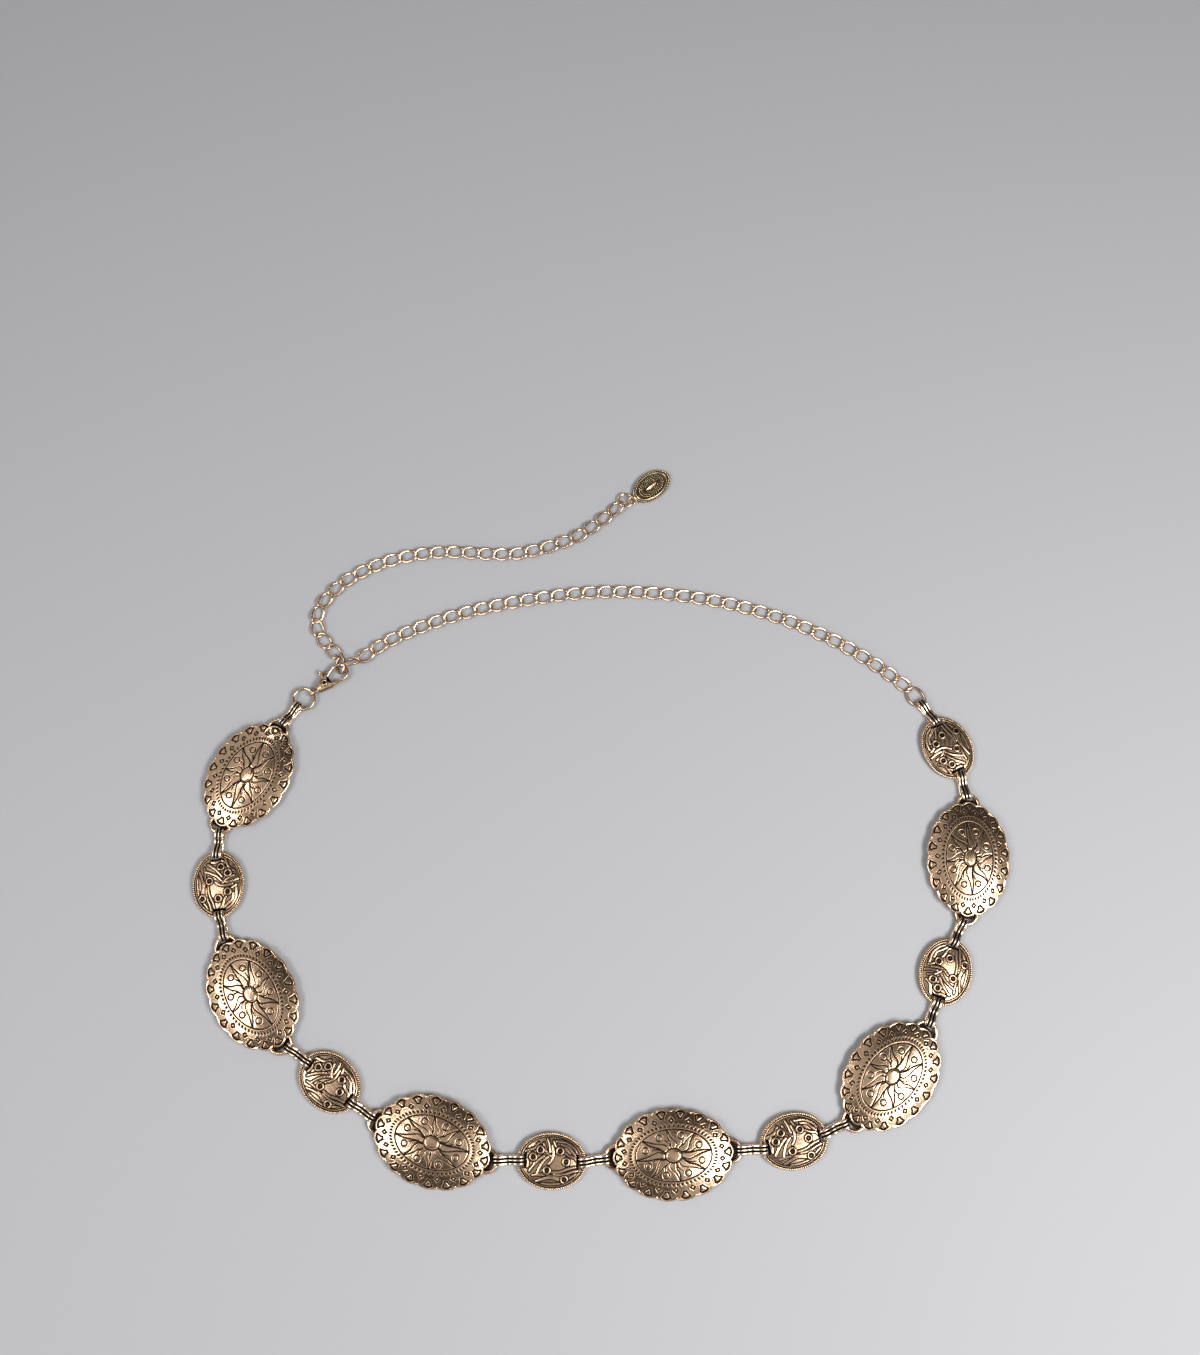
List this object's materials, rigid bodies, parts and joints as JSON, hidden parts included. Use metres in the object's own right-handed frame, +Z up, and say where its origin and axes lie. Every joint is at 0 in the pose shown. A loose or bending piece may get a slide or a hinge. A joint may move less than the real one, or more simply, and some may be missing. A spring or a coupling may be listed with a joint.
{
  "type": "chain belt",
  "caption": "Metal chain belt of domed oval sun medallions and small oval ones on folded strap links, with a curb chain, swivel lobster clasp and a tail ending in an oval tag.",
  "frame": {"origin": "middle of the lying belt's box, on the surface that it lies on", "axes": "+X to the right along the belt's longest reach, +Y from the front medallions towards the chain, +Z up"},
  "size_m": [0.3566, 0.3226, 0.0072],
  "materials": {
    "antique_brass": "cast, blackened in the recesses and polished on the raised edges",
    "light_gold": "polished light gold plate",
    "rose_gold": "polished rose gold plate",
    "dark_brass": "cast, dark antique brass with a worn rim"
  },
  "bodies": {
    "belt": {"large_medallion_1": "antique_brass", "large_medallion_2": "antique_brass", "large_medallion_3": "antique_brass", "large_medallion_4": "antique_brass", "large_medallion_5": "antique_brass", "large_medallion_6": "antique_brass", "small_medallion_1": "antique_brass", "small_medallion_2": "antique_brass", "small_medallion_3": "antique_brass", "small_medallion_4": "antique_brass", "small_medallion_5": "antique_brass", "small_medallion_6": "antique_brass", "strap_link_0": "antique_brass", "strap_link_1": "antique_brass", "strap_link_2": "antique_brass", "strap_link_3": "antique_brass", "strap_link_4": "antique_brass", "strap_link_5": "antique_brass", "strap_link_6": "antique_brass", "strap_link_7": "antique_brass", "strap_link_8": "antique_brass", "strap_link_9": "antique_brass", "strap_link_10": "antique_brass", "strap_link_11": "antique_brass", "strap_link_12": "antique_brass", "jump_ring": "light_gold", "swivel_eye": "light_gold", "clasp_body": "light_gold", "main_chain": "rose_gold", "tail_chain": "rose_gold", "tag_ring": "rose_gold", "tag": "dark_brass"},
    "lever": {"clasp_lever": "light_gold"}
  },
  "joints": [
    {"name": "lever_hinge", "type": "hinge", "parent": "belt", "child": "lever", "pos_m": [-0.12534, 0.0572, 0.00235], "axis": [0, 0, 1], "range_deg": [0, 16], "stiffness_Nm_per_rad": 0.004, "springref_deg": -11.46}
  ]
}
